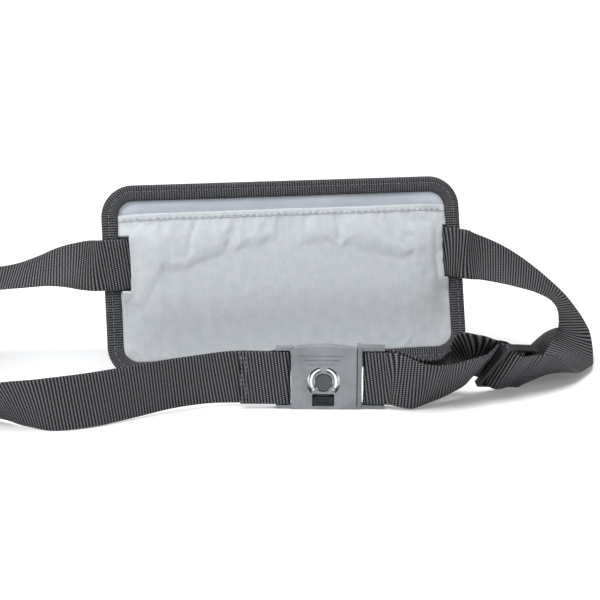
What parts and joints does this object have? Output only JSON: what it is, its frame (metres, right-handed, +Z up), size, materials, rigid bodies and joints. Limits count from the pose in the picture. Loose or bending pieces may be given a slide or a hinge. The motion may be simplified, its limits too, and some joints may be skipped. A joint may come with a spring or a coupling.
{
  "type": "money belt",
  "caption": "Flat zipped waist pouch with bound edges and an open slip pocket, on a webbing strap with a snap buckle and a sliding adjuster.",
  "frame": {"origin": "middle of the pouch's width, on the surface it stands on, under the pouch's bottom edge", "axes": "+Z up, -Y towards the wearer's body and the buckle, +X along the pouch's width"},
  "size_m": [0.396, 0.1335, 0.094],
  "materials": {
    "binding": "woven",
    "back_fabric": "woven",
    "liner_fabric": "woven",
    "front_fabric": "woven",
    "zip_tape": "woven",
    "zip_coil": "satin",
    "zip_metal": "satin",
    "webbing": "ribbed weave",
    "buckle_grey": "fine grain",
    "buckle_dark": "fine grain",
    "ring_steel": "polished",
    "magnet": "plated"
  },
  "bodies": {
    "pouch_and_strap": {"binding_tape": "binding", "back_panel": "back_fabric", "liner_panel": "liner_fabric", "front_lower_panel": "front_fabric", "front_upper_panel": "front_fabric", "zip_tape_lower": "zip_tape", "zip_tape_upper": "zip_tape", "zip_coil_lower": "zip_coil", "zip_coil_upper": "zip_coil", "zip_stops": "zip_metal", "strap_left_front": "webbing", "strap_left_loop": "webbing", "strap_left_rear": "webbing", "strap_sleeve_run": "webbing", "strap_right_rear": "webbing", "strap_right_turn": "webbing", "strap_front_layer": "webbing", "strap_bar_fold": "webbing", "strap_rear_layer": "webbing", "stud_plate": "buckle_grey", "stud_post": "buckle_dark", "stud_magnet": "magnet"},
    "zip_slider": {"zip_slider": "zip_metal"},
    "zip_pull": {"zip_pull": "zip_metal"},
    "ring_half": {"ring_plate": "buckle_grey", "lock_ring": "ring_steel", "ring_magnet": "magnet", "strap_end_fold": "webbing"},
    "release_slider": {"release_slider": "buckle_dark"},
    "adjuster": {"tri_glide": "buckle_dark", "strap_glide_wrap": "webbing", "strap_glide_return": "webbing", "strap_tail": "webbing"}
  },
  "joints": [
    {"name": "zip_slide", "type": "slide", "parent": "pouch_and_strap", "child": "zip_slider", "axis": [1, 0, 0], "range_m": [0, 0.118]},
    {"name": "zip_pull_hinge", "type": "hinge", "parent": "zip_slider", "child": "zip_pull", "pos_m": [-0.061, 0.0305, 0.06013], "axis": [0, 0.2756, 0.9613], "range_deg": [0, 170]},
    {"name": "buckle_unclip", "type": "slide", "parent": "pouch_and_strap", "child": "ring_half", "axis": [-0.2079, -0.9781, 0], "range_m": [0, 0.01], "deforming": ["strap_left_front", "lock_ring"]},
    {"name": "release_push", "type": "slide", "parent": "ring_half", "child": "release_slider", "axis": [0, 0, -1], "range_m": [-0.001, 0], "stiffness_N_per_m": 400},
    {"name": "adjuster_slide", "type": "slide", "parent": "pouch_and_strap", "child": "adjuster", "axis": [0.9194, 0.353, -0.1736], "range_m": [-0.004, 0.004], "deforming": ["strap_right_turn", "strap_front_layer", "strap_rear_layer"]}
  ]
}
